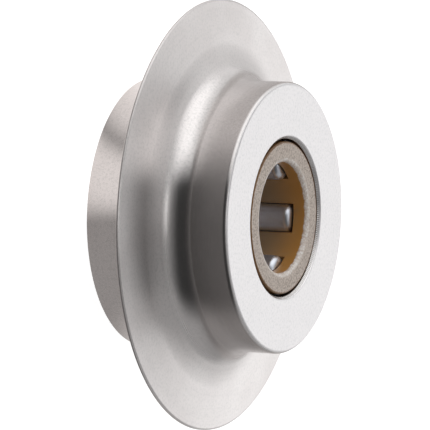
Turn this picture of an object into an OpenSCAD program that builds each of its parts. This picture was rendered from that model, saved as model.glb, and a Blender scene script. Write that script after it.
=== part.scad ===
// Pipe cutter wheel with a caged roller bearing.
// The wheel stands on one hub end, with its bore along Z.
// The origin is on the bore's axis, in the plane of the cutting edge.
// All sizes are in millimetres, and angles in degrees.

/* [Hub] */
// Diameter of the hub on each side of the blade
hub_d = 19.9; // [17:0.02:24]
// Length of the hub over both ends
hub_len = 11.32; // [9:0.02:16]
// Radius of the rounded edge of each hub end
hub_edge = 0.3; // [0.1:0.01:0.6]
// Size of the countersink at each mouth of the bore
bore_edge = 0.24; // [0.05:0.01:0.5]

/* [Blade] */
// Diameter over the cutting edge
wheel_d = 31.75; // [27:0.05:40]
// Angle that the two flanks of the blade make with each other
flank_angle = 13.8; // [6:0.1:20]
// Radius of the fillet between each flank and the hub
fillet_r = 1.9; // [0.8:0.05:2.4]
// Width of the worn land on the very edge
edge_land = 0.1; // [0.04:0.01:0.3]
// How far in the ground edge reaches from the land
edge_depth = 0.12; // [0.05:0.01:0.5]
// Angle that the two ground faces of the edge make with each other
edge_angle = 64; // [40:1:90]

/* [Rollers] */
// Diameter of the pin that the rollers run on
pin_d = 6.76; // [5:0.02:9]
// Diameter of each roller
roller_d = 2.38; // [1.8:0.02:3]
// Number of rollers
roller_count = 6; // [4:1:7]
// Radius of the rounding at each roller's ends
roller_round = 0.48; // [0.1:0.01:0.6]
// Running play between the rollers and the bore
roller_play = 0.02; // [0.01:0.01:0.08]

/* [Roller cage] */
// Gap between the cage and the bore
cage_play = 0.19; // [0.08:0.01:0.3]
// Gap between the cage and the pin
pin_gap = 0.69; // [0.5:0.01:0.8]
// How deep the cage's ends lie below the hub's ends
cage_recess = 0.15; // [0:0.01:0.4]
// Width of the plain ring between the pockets and each end of the cage
cage_ring = 1.18; // [0.6:0.01:1.6]
// Radius of the rounding at the cage's mouths
mouth_r = 0.3; // [0.1:0.01:0.4]
// Size of the broken edge round the outside of the cage's ends
cage_edge = 0.12; // [0.05:0.01:0.3]
// Gap between a roller and the sides of its pocket
pocket_play = 0.06; // [0.03:0.01:0.15]
// Gap between a roller and each end of its pocket
end_play = 0.1; // [0.05:0.01:0.3]

/* [Hidden] */
smooth = 128;
// A cut runs this far past the solid that it cuts
past = 1;
// The first roller lies on +Y
first_roller_at = 90;

edge_r = wheel_d / 2;
hub_r = hub_d / 2;
hub_half = hub_len / 2;

// The edge's ground faces rise from the land to the flanks
ground_rise = edge_depth * tan(edge_angle / 2);
flank_r = edge_r - edge_depth;
flank_z = edge_land / 2 + ground_rise;
flank_slope = flank_angle / 2;

// The rollers fill the room between the pin and the bore
roller_r = roller_d / 2;
pitch_r = pin_d / 2 + roller_r;
bore_r = pitch_r + roller_r + roller_play;

cage_r = bore_r - cage_play;
cage_in_r = pin_d / 2 + pin_gap;
cage_half = hub_half - cage_recess;
pocket_r = roller_r + pocket_play;
pocket_half = cage_half - cage_ring;
roller_half = pocket_half - end_play;

// The blade and its fillets join the hub inside the hub's wall
join_r = (bore_r + hub_r) / 2;

// Height of a flank above the blade's middle plane
function flank_height(r) = flank_z + (flank_r - r) * tan(flank_slope);

// The fillet's circle touches the hub and the flank
fillet_centre = [hub_r + fillet_r, flank_height(hub_r + fillet_r) + fillet_r / cos(flank_slope)];
fillet_foot = fillet_centre - fillet_r * [sin(flank_slope), cos(flank_slope)];

// Turns its child, drawn as a half section, about the bore's axis
module turned(facets = smooth) {
    rotate_extrude($fn = facets) children();
}

// Draws its child above the blade's plane and mirrored below it
module both_sides() {
    children();
    mirror([0, 1]) children();
}

// Half of a wall with a broken edge at each corner of its end
module wall_section(in_r, out_r, half, in_edge, out_edge) {
    polygon([
        [in_r, 0],
        [out_r, 0],
        [out_r, half - out_edge],
        [out_r - out_edge, half],
        [in_r + in_edge, half],
        [in_r, half - in_edge]
    ]);
}

// Cuts the corner of a section down to a rounding; out is 1 at an outer corner and -1 in a bore
module corner_cut(corner_r, corner_z, edge, out) {
    centre = [corner_r - out * edge, corner_z - edge];
    difference() {
        translate([out > 0 ? centre[0] : centre[0] - edge - past, centre[1]]) square(edge + past);
        translate(centre) circle(r = edge, $fn = smooth / 2);
    }
}

module hub_section() {
    difference() {
        wall_section(bore_r, hub_r, hub_half, bore_edge, 0);
        corner_cut(hub_r, hub_half, hub_edge, 1);
    }
}

module blade_section() {
    polygon([
        [join_r, 0],
        [edge_r, 0],
        [edge_r, edge_land / 2],
        [flank_r, flank_z],
        [join_r, flank_height(join_r)]
    ]);
}

// The web between the hub, the flank and the fillet's circle
module fillet_section() {
    difference() {
        polygon([
            [join_r, 0],
            [fillet_foot[0], 0],
            fillet_foot,
            fillet_centre,
            [hub_r, fillet_centre[1]],
            [join_r, fillet_centre[1]]
        ]);
        translate(fillet_centre) circle(r = fillet_r, $fn = smooth);
    }
}

module cutter_wheel() {
    color("silver") turned() both_sides() {
        hub_section();
        blade_section();
        fillet_section();
    }
}

module cage_section() {
    difference() {
        wall_section(cage_in_r, cage_r, cage_half, 0, cage_edge);
        corner_cut(cage_in_r, cage_half, mouth_r, -1);
    }
}

// Puts its child on the pitch circle, at one roller's place
module at_roller(i) {
    rotate([0, 0, first_roller_at + i * 360 / roller_count]) translate([pitch_r, 0, 0]) children();
}

// A pocket is open to the bore, and its lips hold the roller off the pin
module pocket() {
    cylinder(r = pocket_r, h = 2 * pocket_half, center = true, $fn = smooth / 2);
    translate([0, -pocket_r, -pocket_half]) cube([cage_r - pitch_r + past, 2 * pocket_r, 2 * pocket_half]);
}

module roller_cage() {
    color("peru") difference() {
        turned() both_sides() cage_section();
        for (i = [0 : roller_count - 1]) at_roller(i) pocket();
    }
}

module roller() {
    color("slategray") turned(smooth / 2) difference() {
        translate([0, -roller_half]) square([roller_r, 2 * roller_half]);
        corner_cut(roller_r, roller_half, roller_round, 1);
        mirror([0, 1]) corner_cut(roller_r, roller_half, roller_round, 1);
    }
}

cutter_wheel();
roller_cage();
for (i = [0 : roller_count - 1])
    at_roller(i) roller();
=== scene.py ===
"""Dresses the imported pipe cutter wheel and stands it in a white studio.

The wheel stands on one hub end, with its bore along Z and the origin in the plane of its cutting edge.
Sizes are given in millimetres and meshes are made in metres.
"""

import logging
import math
from collections.abc import Iterable, Mapping, Sequence
from dataclasses import dataclass, replace
from enum import Enum
from typing import Any

import bmesh
import bpy
from mathutils import Matrix, Vector


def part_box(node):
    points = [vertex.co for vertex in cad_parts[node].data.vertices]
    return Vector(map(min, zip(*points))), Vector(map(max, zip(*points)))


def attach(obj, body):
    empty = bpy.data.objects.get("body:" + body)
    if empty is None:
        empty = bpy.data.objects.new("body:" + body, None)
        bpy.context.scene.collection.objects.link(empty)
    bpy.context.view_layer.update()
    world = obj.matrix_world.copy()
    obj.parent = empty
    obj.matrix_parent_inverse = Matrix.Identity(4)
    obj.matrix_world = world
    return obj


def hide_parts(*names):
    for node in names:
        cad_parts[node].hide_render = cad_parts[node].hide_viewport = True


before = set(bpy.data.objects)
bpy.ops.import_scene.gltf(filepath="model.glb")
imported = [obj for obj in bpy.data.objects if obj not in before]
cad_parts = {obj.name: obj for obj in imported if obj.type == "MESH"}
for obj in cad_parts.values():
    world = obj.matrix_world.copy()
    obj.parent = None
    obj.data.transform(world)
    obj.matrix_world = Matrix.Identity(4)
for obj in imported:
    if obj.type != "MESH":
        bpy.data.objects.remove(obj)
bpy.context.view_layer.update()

LOG = logging.getLogger("cutter_wheel")
IMAGE_WIDTH = 430
SENSOR_WIDTH = 36.0
MM = 0.001
Z_AXIS = Vector((0.0, 0.0, 1.0))

Colour = tuple[float, float, float]


class Body(Enum):
    """The bodies of the wheel and the cage; each roller's body has its node's name."""

    WHEEL = "wheel"
    CAGE = "cage"


class Slot(Enum):
    """Names for the material slots of the wheel, the cage and the rollers, which nothing here uses."""

    WHEEL = "wheel_steel"
    CAGE = "cage_resin"
    ROLLER = "roller_steel"


class Value:
    """An output socket, with arithmetic that adds Math nodes."""

    def __init__(self, graph: "Graph", socket: bpy.types.NodeSocket) -> None:
        """Wraps a socket of a graph."""
        self.graph = graph
        self.socket = socket

    def _math(self, operation: str, *operands: "Value | float") -> "Value":
        """Returns a Math node's result for the operands."""
        return self.graph.node("Math", {"operation": operation}, dict(enumerate(operands)))

    def __add__(self, other: "Value | float") -> "Value":
        """Returns the sum."""
        return self._math("ADD", self, other)

    __radd__ = __add__

    def __sub__(self, other: "Value | float") -> "Value":
        """Returns the difference."""
        return self._math("SUBTRACT", self, other)

    def __rsub__(self, other: float) -> "Value":
        """Returns the difference from a number."""
        return self._math("SUBTRACT", other, self)

    def __mul__(self, other: "Value | float") -> "Value":
        """Returns the product."""
        return self._math("MULTIPLY", self, other)

    __rmul__ = __mul__

    def __truediv__(self, other: "Value | float") -> "Value":
        """Returns the quotient."""
        return self._math("DIVIDE", self, other)

    def __rtruediv__(self, other: float) -> "Value":
        """Returns a number divided by this value."""
        return self._math("DIVIDE", other, self)

    def __pow__(self, other: "Value | float") -> "Value":
        """Returns the power."""
        return self._math("POWER", self, other)

    def __abs__(self) -> "Value":
        """Returns the size without its sign."""
        return self._math("ABSOLUTE", self)

    def wave(self) -> "Value":
        """Returns the sine of an angle in radians."""
        return self._math("SINE", self)

    def larger(self, other: "Value | float") -> "Value":
        """Returns the larger of two values."""
        return self._math("MAXIMUM", self, other)

    def angle_to(self, other: "Value") -> "Value":
        """Returns the angle whose tangent is this value over the other."""
        return self._math("ARCTAN2", self, other)

    def rise(self, low: float, high: float) -> "Value":
        """Returns a smooth step from 0 at low to 1 at high."""
        settings = {"interpolation_type": "SMOOTHSTEP"}
        return self.graph.node("MapRange", settings, {"Value": self, "From Min": low, "From Max": high})


class Graph:
    """A shader node tree under construction."""

    def __init__(self, tree: bpy.types.NodeTree) -> None:
        """Empties the tree, so that it holds only what is built here."""
        self.tree = tree
        tree.nodes.clear()

    def node(
        self,
        kind: str,
        settings: Mapping[str, Any] | None = None,
        inputs: Mapping[str | int, Any] | None = None,
        output: str | int = 0,
    ) -> Value | None:
        """Adds one node to the tree.

        Args:
            kind: The node's type without its ShaderNode prefix.
            settings: Attributes, set before the sockets.
            inputs: A number, colour, vector or value for each socket that is set.
            output: The socket to return.

        Returns:
            The chosen output, or None from a node that has no outputs.
        """
        made = self.tree.nodes.new("ShaderNode" + kind)
        for name, setting in (settings or {}).items():
            setattr(made, name, setting)
        for name, given in (inputs or {}).items():
            if isinstance(given, Value):
                self.tree.links.new(given.socket, made.inputs[name])
            elif isinstance(given, tuple) and len(given) == 3 and made.inputs[name].type == "RGBA":
                made.inputs[name].default_value = (*given, 1.0)
            else:
                made.inputs[name].default_value = given
        return Value(self, made.outputs[output]) if made.outputs else None

    def mix(self, base: Value | Colour, other: Value | Colour, factor: Value | float) -> Value:
        """Blends two colours.

        Args:
            base: The first colour.
            other: The second colour.
            factor: How much of the second one shows.

        Returns:
            The blended colour.
        """
        settings = {"data_type": "RGBA", "clamp_factor": True}
        return self.node("Mix", settings, {0: factor, 6: base, 7: other}, 2)

    def position(self) -> tuple[Value, Value, Value, Value]:
        """Returns the point on the piece, in millimetres, and its three coordinates."""
        place = self.node("TexCoord", output="Object")
        point = self.node("VectorMath", {"operation": "SCALE"}, {0: place, "Scale": 1.0 / MM})
        axes = [self.node("SeparateXYZ", inputs={0: point}, output=axis) for axis in "XYZ"]
        return point, *axes

    def vector(self, *axes: Value | float) -> Value:
        """Returns a vector of three values."""
        return self.node("CombineXYZ", inputs=dict(enumerate(axes)))

    def noise(self, place: Value, scale: float, detail: float = 2.0, roughness: float = 0.5) -> Value:
        """Adds a noise pattern.

        Args:
            place: Where the pattern is read, in millimetres.
            scale: Its waves in a millimetre.
            detail: Its number of finer layers.
            roughness: The weight of the finer layers.

        Returns:
            The noise, from 0 to 1.
        """
        given = {"Vector": place, "Scale": scale, "Detail": detail, "Roughness": roughness}
        return self.node("TexNoise", None, given)

    def bump(self, height: Value, depth: float) -> Value:
        """Raises a surface by a pattern.

        Args:
            height: The pattern, from 0 to 1.
            depth: The height of 1, in millimetres.

        Returns:
            The new normal.
        """
        return self.node("Bump", None, {"Height": height, "Distance": depth * MM, "Strength": 1.0})


def new_material(name: str) -> tuple[bpy.types.Material, Graph]:
    """Returns an empty node material and its graph."""
    material = bpy.data.materials.new(name)
    material.use_nodes = True
    return material, Graph(material.node_tree)


@dataclass(frozen=True)
class TurnedSteel:
    """Steel with fine turned and ground lines round the axis, and matt, grainy ends.

    Attributes:
        base: The colour of the clean metal.
        worn: The colour of its duller clouds.
        drawn: The colour of its lines, specks and tool marks.
        end_base: The colour of the hub's ends.
        end_worn: The colour of the specks on them.
        line_scale: How close the lines lie, in waves to a millimetre.
        line_depth: The height of the lines, in millimetres.
        line_tint: How strongly they show.
        line_turns: How often they fade in and out round the axis.
        grain_tint: How strongly the specks show.
        end_grain_tint: How strongly they show on the ends.
        unevenness: How far the lines and clouds change the roughness.
        hub_r: The radius up to which the metal is as smooth as the hub.
        blade_r: The radius from which it is as rough as the blade.
        end_height: The height from which it is the hub's end.
        end_blur: The height over which the end's finish sets in.
        mouth_r: The radius inside which the bore's mouth has tool marks.
        mouth_height: The height from which it has them.
        mouth_marks: The number of marks round the mouth.
        mark_slant: How far they lean, in radians of a mark to a millimetre.
        mark_depth: Their height as a multiple of the lines' height.
    """

    name: str = "satin_turned_steel"
    base: Colour = (0.84, 0.805, 0.795)
    worn: Colour = (0.77, 0.73, 0.72)
    drawn: Colour = (0.60, 0.59, 0.58)
    end_base: Colour = (0.91, 0.89, 0.895)
    end_worn: Colour = (0.74, 0.74, 0.745)
    roughness: float = 0.21
    blade_roughness: float = 0.30
    end_roughness: float = 0.38
    anisotropy: float = 0.6
    line_scale: float = 9.0
    line_depth: float = 0.0016
    line_tint: float = 0.16
    line_turns: float = 0.9
    cloud_scale: float = 0.16
    grain_scale: float = 5.5
    grain_depth: float = 0.004
    grain_tint: float = 0.44
    end_grain_tint: float = 0.6
    unevenness: float = 0.06
    hub_r: float = 10.1
    blade_r: float = 11.2
    end_height: float = 5.62
    end_blur: float = 0.06
    mouth_r: float = 6.03
    mouth_height: float = 5.42
    mouth_marks: int = 260
    mark_slant: float = 14.0
    mark_depth: float = 9.0

    def build(self) -> bpy.types.Material:
        """Returns the material."""
        material, graph = new_material(self.name)
        point, x, y, z = graph.position()
        radius = (x * x + y * y) ** 0.5
        at_end = abs(z).rise(self.end_height - self.end_blur, self.end_height)
        turned = self._side(graph, point, radius, z, x / radius, y / radius)
        end = self._end(graph, point)
        surface = graph.node("MixShader", None, {0: at_end, 1: turned, 2: end})
        graph.node("OutputMaterial", None, {"Surface": surface})
        return material

    def _side(
        self, graph: Graph, point: Value, radius: Value, z: Value, turn_x: Value, turn_y: Value
    ) -> Value:
        """Makes the turned and ground steel of the blade, hub and bore.

        Args:
            graph: The material's graph.
            point: The place on the piece, in millimetres.
            radius: The distance from the axis, in millimetres.
            z: The height along the axis, in millimetres.
            turn_x: The cosine of the angle round the axis.
            turn_y: The sine of the angle round the axis.

        Returns:
            The shader.
        """
        lines = self._lines(graph, radius, z, turn_x, turn_y)
        cloud = graph.noise(point, self.cloud_scale)
        speck = graph.noise(point, self.grain_scale, 3.0, 0.65)
        colour = graph.mix(self.base, self.worn, cloud.rise(0.35, 0.7))
        colour = graph.mix(colour, self.drawn, lines.rise(0.4, 0.8) * self.line_tint)
        colour = graph.mix(colour, self.drawn, speck.rise(0.42, 0.72) * self.grain_tint)
        marks = self._marks(graph, radius, z, turn_y.angle_to(turn_x))
        colour = graph.mix(colour, self.drawn, marks)
        on_blade = radius.rise(self.hub_r, self.blade_r)
        smooth = self.roughness + (self.blade_roughness - self.roughness) * on_blade
        roughness = smooth + self.unevenness * (lines - 0.5) + self.unevenness * (cloud - 0.5)
        given = {
            "Base Color": colour,
            "Metallic": 1.0,
            "Roughness": roughness,
            "Anisotropic": self.anisotropy,
            "Anisotropic Rotation": 0.25,
            "Normal": graph.bump(lines + 0.5 * speck + self.mark_depth * marks, self.line_depth),
        }
        return graph.node("BsdfPrincipled", None, given)

    def _marks(self, graph: Graph, radius: Value, z: Value, angle: Value) -> Value:
        """Draws the short slanting marks that the countersink left on the bore's mouth.

        Args:
            graph: The material's graph.
            radius: The distance from the axis, in millimetres.
            z: The height along the axis, in millimetres.
            angle: The angle round the axis, in radians.

        Returns:
            The marks, from 0 to 1.
        """
        inside = 1 - radius.rise(self.mouth_r - 0.02, self.mouth_r)
        at_mouth = inside * abs(z).rise(self.mouth_height, self.mouth_height + 0.03)
        patchy = graph.noise(graph.vector(angle * 2.0, 0.0, z), 1.0, 2.0, 0.6).rise(0.35, 0.55)
        cut = (angle * float(self.mouth_marks) + radius * self.mark_slant).wave().rise(-0.5, 0.9)
        return cut * at_mouth * (0.35 + 0.65 * patchy)

    def _end(self, graph: Graph, point: Value) -> Value:
        """Makes the matt end of the hub.

        Args:
            graph: The material's graph.
            point: The place on the piece, in millimetres.

        Returns:
            The shader.
        """
        grain = graph.noise(point, self.grain_scale * 0.9, 4.0, 0.7)
        cloud = graph.noise(point, 0.5)
        wear = grain.rise(0.44, 0.68) * self.end_grain_tint + (cloud - 0.5) * 0.3
        colour = graph.mix(self.end_base, self.end_worn, wear)
        given = {
            "Base Color": colour,
            "Metallic": 1.0,
            "Roughness": self.end_roughness + 0.2 * (grain - 0.5),
            "Normal": graph.bump(grain, self.grain_depth),
        }
        return graph.node("BsdfPrincipled", None, given)

    def _lines(self, graph: Graph, radius: Value, z: Value, turn_x: Value, turn_y: Value) -> Value:
        """Draws lines round the axis, which fade in and out along their length.

        Args:
            graph: The material's graph.
            radius: The distance from the axis, in millimetres.
            z: The height along the axis, in millimetres.
            turn_x: The cosine of the angle round the axis.
            turn_y: The sine of the angle round the axis.

        Returns:
            The lines, from 0 to 1.
        """
        settings = {"noise_dimensions": "4D"}
        given = {
            "Vector": graph.vector(radius * self.line_scale, z * self.line_scale, turn_x * self.line_turns),
            "W": turn_y * self.line_turns,
            "Scale": 1.0,
            "Detail": 3.0,
            "Roughness": 0.7,
        }
        return graph.node("TexNoise", settings, given)


@dataclass(frozen=True)
class LaminateResin:
    """Amber brown resin laminate, glossy in its bore and sawn matt and pale on its ends and mouths, with
    painted shade deep in its bore and a painted highlight on its mouths.

    Attributes:
        amber: The resin's colour, which shows near the bore's mouths.
        dark: The painted shade of the bore's middle, and the colour of its streaks.
        pale_fibre_and_highlight: The near-white colour round the mouths, partly pale torn fibres and partly
            a painted highlight.
        end_pale: The pale colour of the ends.
        end_dark: The colour of the specks on them.
        skin: The colour of the outer skin.
        end_height: The height of the ends.
        mouth_r: The radius inside which an end is its glossy mouth.
        mouth_depth: How far down the bore the mouth reaches.
        skin_r: The radius from which the skin shows.
        amber_from: The height from which the bore's painted shade gives way to amber.
        amber_full: The height at which the painted shade has gone and it is all amber.
        tear_scale: How close the mouth's tears lie, in waves to a millimetre.
    """

    name: str = "laminate_resin"
    amber: Colour = (0.55, 0.27, 0.07)
    dark: Colour = (0.36, 0.25, 0.145)
    pale_fibre_and_highlight: Colour = (1.0, 0.95, 0.90)
    end_pale: Colour = (0.74, 0.64, 0.56)
    end_dark: Colour = (0.38, 0.30, 0.245)
    skin: Colour = (0.22, 0.11, 0.04)
    end_height: float = 5.51
    mouth_r: float = 4.42
    mouth_depth: float = 0.3
    skin_r: float = 5.42
    amber_from: float = 2.0
    amber_full: float = 5.2
    grain_scale: float = 6.5
    grain_depth: float = 0.016
    tear_scale: float = 1.9
    roughness: float = 0.30

    def build(self) -> bpy.types.Material:
        """Returns the material."""
        material, graph = new_material(self.name)
        point, x, y, z = graph.position()
        radius = (x * x + y * y) ** 0.5
        height = abs(z)
        grain = graph.noise(point, self.grain_scale, 4.0, 0.75)
        streak = graph.noise(graph.vector(x * 0.7, y * 0.7, z * 0.35), 1.0)
        torn = graph.noise(point, self.tear_scale, 3.0, 0.65)
        nibbled = 0.12 * (grain - 0.5)
        ragged = nibbled + 0.32 * (torn - 0.5)
        start = self.end_height - self.mouth_depth
        at_mouth = (height + ragged).rise(start - 0.05, start + 0.05)
        at_skin = (radius + nibbled).rise(self.skin_r, self.skin_r + 0.08)
        at_end = at_mouth * (1 - at_skin)
        # Painted shade: the bore darkens from amber near its mouths to dark brown deeper in.
        depth = (height + 0.8 * (streak - 0.5)).rise(self.amber_from, self.amber_full)
        bore = graph.mix(self.dark, self.amber, depth)
        bore = graph.mix(bore, self.dark, streak.rise(0.5, 0.75) * 0.6)
        outside = graph.mix(bore, self.skin, at_skin)
        end = graph.mix(self.end_pale, self.end_dark, grain.rise(0.42, 0.66))
        # The mouth's rounding is glossier and speckled near white: pale torn fibres with a painted
        # highlight on them.
        gloss_and_highlight_mask = 1 - (radius - 1.2 * ragged).rise(self.mouth_r - 0.16, self.mouth_r)
        end = graph.mix(end, self.pale_fibre_and_highlight, gloss_and_highlight_mask * grain.rise(0.42, 0.58))
        colour = graph.mix(outside, end, at_end)
        matt = 0.22 - 0.14 * gloss_and_highlight_mask + 0.2 * (grain - 0.5)
        roughness = self.roughness + 0.12 * (streak - 0.5) + at_end * matt
        given = {
            "Base Color": colour,
            "Roughness": roughness,
            "Normal": graph.bump(grain * (0.15 + 0.85 * at_end), self.grain_depth),
        }
        surface = graph.node("BsdfPrincipled", None, given)
        graph.node("OutputMaterial", None, {"Surface": surface})
        return material


@dataclass(frozen=True)
class PolishedSteel:
    """Hard polished roller steel with a trace of oil and running marks.

    Attributes:
        base: The colour of the clean metal.
        smeared: The colour of the oil on it.
        band_scale: How close the running marks lie, in waves to a millimetre.
        band_depth: Their height, in millimetres.
    """

    name: str = "polished_roller_steel"
    base: Colour = (0.81, 0.84, 0.91)
    smeared: Colour = (0.62, 0.60, 0.61)
    roughness: float = 0.34
    band_scale: float = 6.0
    band_depth: float = 0.001

    def build(self) -> bpy.types.Material:
        """Returns the material."""
        material, graph = new_material(self.name)
        _, x, y, z = graph.position()
        smear = graph.noise(graph.vector(x * 1.2, y * 1.2, z * 0.5), 1.0, 3.0, 0.6)
        bands = graph.noise(graph.vector(0.0, 0.0, z * self.band_scale), 1.0, 2.0, 0.6)
        colour = graph.mix(self.base, self.smeared, smear.rise(0.45, 0.75) * 0.5)
        roughness = self.roughness + 0.10 * (smear - 0.5) + 0.04 * (bands - 0.5)
        given = {
            "Base Color": colour,
            "Metallic": 1.0,
            "Roughness": roughness,
            "Normal": graph.bump(bands, self.band_depth),
        }
        surface = graph.node("BsdfPrincipled", None, given)
        graph.node("OutputMaterial", None, {"Surface": surface})
        return material


@dataclass(frozen=True)
class Corner:
    """A corner of a section that is turned about the axis.

    Attributes:
        r: Distance from the axis.
        z: Height above the blade's plane.
        reach: How far along each side the corner's rounding runs.
        segments: Steps of the rounding.
    """

    r: float
    z: float
    reach: float = 0.0
    segments: int = 4


class Mesh:
    """Makes finished objects from bmeshes.

    Attributes:
        SHARP: The angle between two faces from which their edge is shaded sharp.
        GUARD: How far past a rounding the added points lie, in millimetres.
        MERGE: How close two points are merged, in millimetres.
    """

    SHARP = math.radians(32.0)
    GUARD = 0.012
    MERGE = 0.0005

    @staticmethod
    def mirrored(corners: Sequence[Corner]) -> list[Corner]:
        """Returns a half section's corners followed by their mirror images below the blade's plane."""
        return [*corners, *(replace(corner, z=-corner.z) for corner in reversed(corners))]

    @classmethod
    def guarded(cls, corners: Sequence[Corner]) -> list[Corner]:
        """Adds a plain point just past each rounding, so that the flat faces between keep a flat shading.

        Args:
            corners: The section's corners in order.

        Returns:
            The corners with the added points.
        """
        points = []
        for corner, following in zip(corners, [*corners[1:], corners[0]]):
            points.append(corner)
            length = math.hypot(following.r - corner.r, following.z - corner.z)
            near, far = corner.reach + cls.GUARD, length - following.reach - cls.GUARD
            if near + cls.GUARD < far:
                for share in (near / length, far / length):
                    r = corner.r + (following.r - corner.r) * share
                    points.append(Corner(r, corner.z + (following.z - corner.z) * share))
        return points

    @classmethod
    def turned(cls, corners: Sequence[Corner], steps: int) -> bmesh.types.BMesh:
        """Turns a closed section about the bore's axis.

        Args:
            corners: The section's corners in order.
            steps: Steps of the full turn.

        Returns:
            The closed ring.
        """
        bm = bmesh.new()
        points = cls.guarded(corners)
        placed = [(corner, bm.verts.new((corner.r * MM, 0.0, corner.z * MM))) for corner in points]
        bm.faces.new([vert for _, vert in placed])
        for corner, vert in placed:
            if corner.reach:
                bmesh.ops.bevel(
                    bm,
                    geom=[vert],
                    offset=corner.reach * MM,
                    offset_type="OFFSET",
                    segments=corner.segments,
                    profile=0.5,
                    affect="VERTICES",
                    clamp_overlap=False,
                    material=-1,
                )
        bmesh.ops.delete(bm, geom=bm.faces[:], context="FACES_ONLY")
        geom = bm.verts[:] + bm.edges[:]
        bmesh.ops.spin(
            bm, geom=geom, cent=(0, 0, 0), axis=Z_AXIS, angle=math.tau, steps=steps, use_merge=True
        )
        return bm

    @classmethod
    def finished(cls, bm: bmesh.types.BMesh, name: str, material: bpy.types.Material) -> bpy.types.Object:
        """Cleans a bmesh and makes it an object at the origin.

        Args:
            bm: The shape, which is freed.
            name: The object's name.
            material: Its finish.

        Returns:
            The object, linked to the scene.
        """
        bmesh.ops.remove_doubles(bm, verts=bm.verts[:], dist=cls.MERGE * MM)
        bmesh.ops.recalc_face_normals(bm, faces=bm.faces[:])
        for face in bm.faces:
            face.smooth = True
        for edge in bm.edges:
            edge.smooth = edge.is_manifold and edge.calc_face_angle(0.0) < cls.SHARP
        mesh = bpy.data.meshes.new(name)
        bm.to_mesh(mesh)
        bm.free()
        mesh.materials.append(material)
        made = bpy.data.objects.new(name, mesh)
        bpy.context.scene.collection.objects.link(made)
        return made


@dataclass(frozen=True)
class CutterWheel:
    """The one-piece wheel: two hubs, the blade between them and the bore.

    Attributes:
        hub_half: Half the length over both hub ends.
        hub_edge: The rounding of each hub's outer edge.
        bore_edge: The size of the countersink at each mouth of the bore.
        mouth_round: The rounding where the countersink meets the hub's end.
        bore_round: The rounding where it meets the bore.
        edge_land: The width of the worn land on the very edge.
        land_round: The rounding of the land's corners.
        ground_round: The rounding where the ground edge meets the flank.
        edge_depth: How far in the ground edge reaches from the land.
        edge_angle: The angle between its two ground faces, in degrees.
        edge_slope: The slope of the flank's outer part, in degrees.
        flank_slope: The slope of its middle part, in degrees.
        root_slope: The slope of its root, in degrees.
        hollow_r: The radius at which the outer part meets the middle part.
        hollow_reach: How far to each side their blend runs.
        root_r: The radius at which the middle part meets the root.
        root_reach: How far to each side their blend runs.
        fillet_r: The radius of the fillet between the root and the hub.
        steps: Steps of the full turn.
    """

    hub_r: float = 9.95
    hub_half: float = 5.66
    hub_edge: float = 0.3
    bore_r: float = 5.78
    bore_edge: float = 0.24
    mouth_round: float = 0.03
    bore_round: float = 0.02
    edge_land: float = 0.1
    land_round: float = 0.012
    ground_round: float = 0.02
    edge_depth: float = 0.12
    edge_angle: float = 64.0
    edge_slope: float = 8.3
    flank_slope: float = 9.6
    root_slope: float = 22.0
    hollow_r: float = 14.0
    hollow_reach: float = 1.3
    root_r: float = 12.05
    root_reach: float = 0.64
    fillet_r: float = 1.9
    steps: int = 384
    finish: TurnedSteel = TurnedSteel()

    def corners(self) -> list[Corner]:
        """Returns the corners of the wheel's whole section."""
        slopes = (self.edge_slope, self.flank_slope, self.root_slope)
        outer, middle, root = (math.tan(math.radians(slope)) for slope in slopes)
        _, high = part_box("cutter_wheel")
        edge_r = min(high.x, high.y) / MM
        flank_r = edge_r - self.edge_depth
        flank_z = self.edge_land / 2 + self.edge_depth * math.tan(math.radians(self.edge_angle / 2))
        hollow_z = flank_z + (flank_r - self.hollow_r) * outer
        root_z = hollow_z + (self.hollow_r - self.root_r) * middle
        hub_z = root_z + (self.root_r - self.hub_r) * root
        fillet_reach = self.fillet_r / math.tan(math.radians(90 + self.root_slope) / 2)
        upper = [
            Corner(edge_r, self.edge_land / 2, self.land_round, 2),
            Corner(flank_r, flank_z, self.ground_round, 2),
            Corner(self.hollow_r, hollow_z, self.hollow_reach, 16),
            Corner(self.root_r, root_z, self.root_reach, 12),
            Corner(self.hub_r, hub_z, fillet_reach, 28),
            Corner(self.hub_r, self.hub_half, self.hub_edge, 8),
            Corner(self.bore_r + self.bore_edge, self.hub_half, self.mouth_round, 3),
            Corner(self.bore_r, self.hub_half - self.bore_edge, self.bore_round, 2),
        ]
        return Mesh.mirrored(upper)

    def build(self) -> bpy.types.Object:
        """Builds the wheel in place of its CAD node and returns it."""
        bm = Mesh.turned(self.corners(), self.steps)
        wheel = Mesh.finished(bm, "turned_wheel", self.finish.build())
        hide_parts("cutter_wheel")
        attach(wheel, Body.WHEEL.value)
        return wheel


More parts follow.
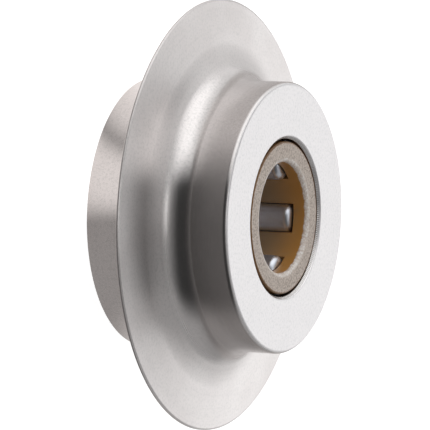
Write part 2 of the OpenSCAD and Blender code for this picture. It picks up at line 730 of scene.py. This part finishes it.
@dataclass(frozen=True)
class RollerCage:
    """The resin tube whose pockets hold the rollers.

    Attributes:
        half: Half its length.
        mouth_r: The radius of the rounding at its mouths.
        edge: The rounding of its outer edges.
        pitch_r: The radius that the rollers' axes lie on.
        pocket_half: Half a pocket's length.
        pocket_steps: Steps of a pocket's round.
        slot_reach: How far out from the pitch circle a pocket is cut.
        crown: The share of a quarter turn from which a pocket's points keep their place across it.
        first_at: The bearing of the first pocket, from +X towards +Y, in degrees.
        steps: Steps of the full turn.
    """

    out_r: float = 5.59
    in_r: float = 4.07
    half: float = 5.51
    mouth_r: float = 0.3
    edge: float = 0.12
    pitch_r: float = 4.57
    pocket_r: float = 1.25
    pocket_half: float = 4.33
    pocket_steps: int = 64
    slot_reach: float = 2.2
    crown: float = 0.97
    pockets: int = 6
    first_at: float = 90.0
    steps: int = 288
    finish: LaminateResin = LaminateResin()

    def corners(self) -> list[Corner]:
        """Returns the corners of the tube's whole section."""
        upper = [
            Corner(self.out_r, self.half, self.edge, 4),
            Corner(self.in_r, self.half, self.mouth_r, 8),
        ]
        return Mesh.mirrored(upper)

    def pocket_cutter(self) -> bmesh.types.BMesh:
        """Returns the solids that cut all the pockets."""
        bm = bmesh.new()
        depth = 2 * self.pocket_half * MM
        for index in range(self.pockets):
            turn = Matrix.Rotation(math.radians(self.first_at + index * 360 / self.pockets), 4, "Z")
            place = turn @ Matrix.Translation((self.pitch_r * MM, 0.0, 0.0))
            made = bmesh.ops.create_cone(
                bm,
                cap_ends=True,
                segments=self.pocket_steps,
                radius1=self.pocket_r * MM,
                radius2=self.pocket_r * MM,
                depth=depth,
                matrix=place @ Matrix.Rotation(math.pi / self.pocket_steps, 4, "Z"),
            )
            outward = (place.to_3x3() @ Vector((1.0, 0.0, 0.0))).normalized()
            centre = place.translation
            outer = [vert for vert in made["verts"] if (vert.co - centre).dot(outward) > 0]
            self._pull_out(outer, centre, outward)
        return bm

    def _pull_out(self, verts: Iterable[bmesh.types.BMVert], centre: Vector, outward: Vector) -> None:
        """Stretches the outer half of a pocket's round into a slot that is open to the bore.

        Args:
            verts: The outer half's vertices.
            centre: The middle of the pocket.
            outward: The direction away from the axis.
        """
        across = outward.cross(Z_AXIS)
        for vert in verts:
            side = (vert.co - centre).dot(across)
            reach = (vert.co - centre).dot(outward)
            share = math.asin(min(1.0, reach / (self.pocket_r * MM))) / (math.pi / 2)
            vert.co += outward * (share * self.slot_reach * MM - reach)
            vert.co += across * (math.copysign(self.pocket_r * MM, side) - side) * (share < self.crown)

    def build(self) -> bpy.types.Object:
        """Builds the cage in place of its CAD node and returns it."""
        material = self.finish.build()
        tube = Mesh.finished(Mesh.turned(self.corners(), self.steps), "tube", material)
        cutter = Mesh.finished(self.pocket_cutter(), "pocket_cutter", material)
        cut = tube.modifiers.new("pockets", "BOOLEAN")
        cut.operation, cut.solver, cut.object = "DIFFERENCE", "EXACT", cutter
        bm = bmesh.new()
        bm.from_object(tube, bpy.context.evaluated_depsgraph_get())
        for spent in (tube, cutter):
            bpy.data.objects.remove(spent)
        cage = Mesh.finished(bm, "pocketed_cage", material)
        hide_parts("roller_cage")
        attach(cage, Body.CAGE.value)
        return cage


@dataclass(frozen=True)
class Rollers:
    """The steel rollers in the cage's pockets.

    Attributes:
        end_round: The radius of the rounding at each end.
        round_steps: Steps of that rounding.
        segments: Steps of the full turn.
    """

    count: int = 6
    end_round: float = 0.48
    round_steps: int = 12
    segments: int = 96
    finish: PolishedSteel = PolishedSteel()

    def build(self) -> list[bpy.types.Object]:
        """Builds a roller in place of each CAD node and returns them all."""
        material = self.finish.build()
        return [self._roller(f"roller_{index + 1}", material) for index in range(self.count)]

    def _roller(self, node: str, material: bpy.types.Material) -> bpy.types.Object:
        """Builds one roller.

        Args:
            node: The CAD node that it stands for, which has the same name as its body.
            material: Its finish.

        Returns:
            The roller.
        """
        low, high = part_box(node)
        radius = (high.x - low.x) / 2
        bm = bmesh.new()
        bmesh.ops.create_cone(
            bm,
            cap_ends=True,
            segments=self.segments,
            radius1=radius,
            radius2=radius,
            depth=high.z - low.z,
            matrix=Matrix.Translation((low + high) / 2),
        )
        caps = [face for face in bm.faces if len(face.verts) == self.segments]
        rims = {edge for face in caps for edge in face.edges}
        reach = self.end_round * MM
        guard = Mesh.GUARD * MM
        bmesh.ops.bevel(
            bm,
            geom=list(rims),
            offset=reach,
            segments=self.round_steps,
            profile=0.5,
            affect="EDGES",
            material=-1,
        )
        caps = [face for face in bm.faces if len(face.verts) == self.segments]
        bmesh.ops.inset_individual(bm, faces=caps, thickness=guard)
        for level in (low.z + reach + guard, high.z - reach - guard):
            geom = bm.verts[:] + bm.edges[:] + bm.faces[:]
            bmesh.ops.bisect_plane(bm, geom=geom, plane_co=(0.0, 0.0, level), plane_no=Z_AXIS)
        made = Mesh.finished(bm, f"bearing_{node}", material)
        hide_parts(node)
        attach(made, node)
        return made


@dataclass(frozen=True)
class Window:
    """A soft-edged panel of light in the studio's sky, or a dark one where its strength is below 0.

    Attributes:
        azimuth: The bearing of its middle, from +X towards +Y, in degrees.
        elevation: The height of its middle above the horizon, in degrees.
        half_width: How far it reaches to each side, in degrees.
        half_height: How far it reaches up and down, in degrees.
        blur: The width of its soft sides, in degrees.
        fade: The height of its soft top and bottom, in degrees.
        strength: What it adds to the sky's brightness, where 1 is white.
        SMALLEST: The least angle off its middle at which its light may start to fade, in degrees.
        LARGEST: The greatest angle off its middle at which it may end, in degrees.
    """

    SMALLEST = 0.5
    LARGEST = 179.0

    azimuth: float
    elevation: float
    half_width: float
    half_height: float
    blur: float
    fade: float
    strength: float

    def light(self, graph: Graph, bearing_x: Value, bearing_y: Value, height: Value) -> Value:
        """Returns the window's light for a direction.

        Args:
            graph: The world's graph, which is not used.
            bearing_x: The X share of the direction's level bearing.
            bearing_y: The Y share of the direction's level bearing.
            height: The direction's elevation, in degrees.

        Returns:
            What the window adds to the sky there.
        """
        turn = math.radians(self.azimuth)
        across = bearing_x * math.cos(turn) + bearing_y * math.sin(turn)
        wide = math.cos(math.radians(min(self.LARGEST, self.half_width + self.blur / 2)))
        narrow = math.cos(math.radians(max(self.SMALLEST, self.half_width - self.blur / 2)))
        off_middle = abs(height - self.elevation)
        inner, outer = self.half_height - self.fade / 2, self.half_height + self.fade / 2
        return across.rise(wide, narrow) * (1 - off_middle.rise(inner, outer)) * self.strength


@dataclass(frozen=True)
class Patch:
    """A soft light patch of the reflector card, round one bearing.

    Attributes:
        azimuth: The bearing of its middle, from +X towards +Y, in degrees.
        start: The cosine of the angle off its middle at which it starts.
        full: The cosine of the angle off its middle at which it is full.
        strength: What it adds to the card's brightness, where 1 is white.
    """

    azimuth: float
    start: float
    full: float
    strength: float

    def light(self, x: Value, y: Value, radius: Value) -> Value:
        """Returns the patch's light.

        Args:
            x: The place along X, in millimetres.
            y: The place along Y, in millimetres.
            radius: The distance from the axis, in millimetres.

        Returns:
            What the patch adds to the card there.
        """
        turn = math.radians(self.azimuth)
        across = (x * math.cos(turn) + y * math.sin(turn)) / radius
        return across.rise(self.start, self.full) * self.strength


@dataclass(frozen=True)
class Studio:
    """The floor, the light and the camera.

    Attributes:
        floor_z: The floor's height.
        floor_white: How pale the floor is, where 1 is white.
        card_rise: How far the reflector card lies above the floor.
        card_tint: The colour of the card's light.
        near_card: The reflector card's brightness under the wheel.
        near_patches: The patches of the card under the wheel.
        near_end: The radii between which the card's near part gives way to its far part.
        far_card: The card's brightness farther out.
        far_patches: The patches of the card farther out.
        back_patch: A patch that shows only between the radii of back_start and beyond.
        pool: The brightness of a ring of the card, which pool_patch raises on one side.
        pool_start: The radii between which the ring fades in.
        pool_end: The radii between which the ring fades out.
        eye_tilt: The angle between the camera's line of sight and the wheel's axis, in degrees.
        eye_roll: The camera's turn about its line of sight, in degrees.
        eye_distance: How far the camera is from the wheel's middle.
        focal_pixels: The camera's focal length, in pixels of the image.
        axis_x: The wheel's middle in the image, in pixels from its left.
        axis_y: The wheel's middle in the image, in pixels from its top.
        ambient: The brightness of the sky between its windows.
        windows: The sky's panels of light.
        flag: A dark window that only metal sees.
    """

    floor_z: float = -5.66
    floor_r: float = 400.0
    floor_steps: int = 96
    floor_white: float = 0.85
    card_rise: float = 0.01
    card_tint: Colour = (1.0, 0.955, 0.935)
    near_card: float = 0.32
    near_patches: tuple[Patch, ...] = (
        Patch(94.0, -0.72, 0.32, 0.58),
        Patch(254.0, 0.92, 1.0, 0.52),
        Patch(207.0, 0.88, 1.0, 0.42),
    )
    near_end: tuple[float, float] = (20.0, 27.0)
    far_card: float = 0.06
    far_patches: tuple[Patch, ...] = (
        Patch(138.0, -0.42, 0.5, 0.40),
        Patch(25.0, 0.6, 1.0, 0.14),
        Patch(89.0, 0.955, 0.995, 0.5),
    )
    back_patch: Patch = Patch(195.0, 0.8, 0.98, 0.22)
    back_start: tuple[float, float] = (45.0, 80.0)
    pool: float = 0.11
    pool_patch: Patch = Patch(228.0, 0.8, 1.0, 0.10)
    pool_start: tuple[float, float] = (27.0, 34.0)
    pool_end: tuple[float, float] = (34.5, 46.0)
    eye_tilt: float = 63.83
    eye_roll: float = 2.69
    eye_distance: float = 317.5
    focal_pixels: float = 4313.8
    axis_x: float = 216.71
    axis_y: float = 214.64
    ambient: float = 0.30
    windows: tuple[Window, ...] = (
        Window(94.0, 8.0, 32.0, 32.0, 16.0, 16.0, 0.36),
        Window(88.0, 50.0, 6.0, 9.0, 10.0, 10.0, 0.70),
        Window(180.0, 14.0, 56.0, 42.0, 24.0, 30.0, 0.43),
        Window(180.0, 41.0, 38.0, 27.0, 36.0, 26.0, 0.48),
        Window(88.5, 13.0, 12.5, 25.0, 8.0, 14.0, 0.46),
        Window(35.0, 34.0, 30.0, 24.0, 30.0, 24.0, 0.07),
        Window(190.0, 82.0, 90.0, 13.0, 60.0, 14.0, 0.16),
        Window(270.0, 81.0, 50.0, 5.0, 30.0, 4.0, 1.1),
    )
    flag: Window = Window(294.0, 0.0, 60.0, 54.0, 36.0, 46.0, -0.265)

    def build(self) -> None:
        """Lays the floor, lights the world and sets the camera."""
        self.lay_floor()
        self.lay_card()
        self.light_world()
        self.set_camera()

    def set_camera(self) -> None:
        """Puts the camera where the photograph was taken from."""
        tilt, roll = math.radians(self.eye_tilt), math.radians(self.eye_roll)
        back = Vector((0.0, -math.sin(tilt), math.cos(tilt)))
        level_right = Vector((0.0, math.cos(tilt), math.sin(tilt)))
        level_up = Vector((-1.0, 0.0, 0.0))
        right = level_right * math.cos(roll) + level_up * math.sin(roll)
        up = level_up * math.cos(roll) - level_right * math.sin(roll)
        middle = IMAGE_WIDTH / 2
        per_pixel = self.eye_distance * MM / self.focal_pixels
        aim = right * (middle - self.axis_x) * per_pixel + up * (self.axis_y - middle) * per_pixel
        place = back * self.eye_distance * MM
        depth = (place - aim).normalized()
        side = up.cross(depth).normalized()
        turn = Matrix((side, depth.cross(side), depth)).transposed()
        data = bpy.data.cameras.new("camera")
        data.sensor_width = SENSOR_WIDTH
        data.lens = self.focal_pixels * data.sensor_width / IMAGE_WIDTH
        data.clip_start, data.clip_end = 0.01, 10.0
        camera = bpy.data.objects.new("camera", data)
        camera.matrix_world = Matrix.Translation(place) @ turn.to_4x4()
        bpy.context.scene.collection.objects.link(camera)
        bpy.context.scene.camera = camera

    def _disc(self, name: str, height: float, material: bpy.types.Material) -> bpy.types.Object:
        """Lays a level round sheet.

        Args:
            name: The sheet's name.
            height: Its height along the axis.
            material: Its finish.

        Returns:
            The sheet, which isn't part of the object.
        """
        bm = bmesh.new()
        bmesh.ops.create_circle(bm, cap_ends=True, segments=self.floor_steps, radius=self.floor_r * MM)
        bmesh.ops.translate(bm, vec=(0.0, 0.0, height * MM), verts=bm.verts[:])
        disc = Mesh.finished(bm, name, material)
        return disc

    def lay_floor(self) -> None:
        """Lays white card that the camera, metal and glass see as white, with a soft shadow on it."""
        material, graph = new_material("white_floor")
        rays = ("Is Camera Ray", "Is Glossy Ray", "Is Transmission Ray")
        camera, glossy, through = (graph.node("LightPath", output=ray) for ray in rays)
        seen = camera.larger(glossy).larger(through)
        white = self.floor_white
        paper = graph.node("BsdfDiffuse", None, {"Color": (white, white, white)})
        glow = graph.node("Emission", None, {"Color": (1.0, 1.0, 1.0), "Strength": white * seen})
        surface = graph.node("AddShader", None, {0: paper, 1: glow})
        graph.node("OutputMaterial", None, {"Surface": surface})
        self._disc("floor", self.floor_z, material)

    def lay_card(self) -> None:
        """Lays a grey reflector that only the metal sees, darker on the camera's side."""
        material, graph = new_material("reflector_card")
        _, x, y, _ = graph.position()
        radius = (x * x + y * y) ** 0.5
        near, far = self.near_card, self.far_card
        for patch in self.near_patches:
            near = near + patch.light(x, y, radius)
        for patch in self.far_patches:
            far = far + patch.light(x, y, radius)
        far = far + radius.rise(*self.back_start) * self.back_patch.light(x, y, radius)
        ring = radius.rise(*self.pool_start) * (1 - radius.rise(*self.pool_end))
        far = far + ring * (self.pool + self.pool_patch.light(x, y, radius))
        strength = near + radius.rise(*self.near_end) * (far - near)
        given = {"Color": self.card_tint, "Strength": strength}
        graph.node("OutputMaterial", None, {"Surface": graph.node("Emission", None, given)})
        card = self._disc("reflector_card", self.floor_z + self.card_rise, material)
        card.visible_camera = card.visible_diffuse = card.visible_shadow = False

    def light_world(self) -> None:
        """Lights the object from the studio's sky, which the camera sees as white."""
        world = bpy.data.worlds.new("studio")
        world.use_nodes = True
        bpy.context.scene.world = world
        graph = Graph(world.node_tree)
        direction = graph.node("TexCoord", output="Generated")
        x, y, z = (graph.node("SeparateXYZ", None, {0: direction}, axis) for axis in "XYZ")
        level = (x * x + y * y) ** 0.5
        height = z.angle_to(level) * math.degrees(1.0)
        light = self.ambient
        for window in self.windows:
            light = light + window.light(graph, x / level, y / level, height)
        lit_dull = graph.node("LightPath", output="Is Diffuse Ray")
        light = light + (1 - lit_dull) * self.flag.light(graph, x / level, y / level, height)
        camera_sees = graph.node("LightPath", output="Is Camera Ray")
        strength = light + camera_sees * (1 - light)
        surface = graph.node("Background", None, {"Color": (1.0, 1.0, 1.0), "Strength": strength})
        graph.node("OutputWorld", None, {"Surface": surface})


def main() -> None:
    """Builds the part and its studio."""
    logging.basicConfig(level=logging.INFO, format="%(name)s: %(message)s")
    pieces = [CutterWheel().build(), RollerCage().build(), *Rollers().build()]
    Studio().build()
    bpy.context.scene.view_settings.view_transform = "Standard"


if __name__ == "__main__":
    main()
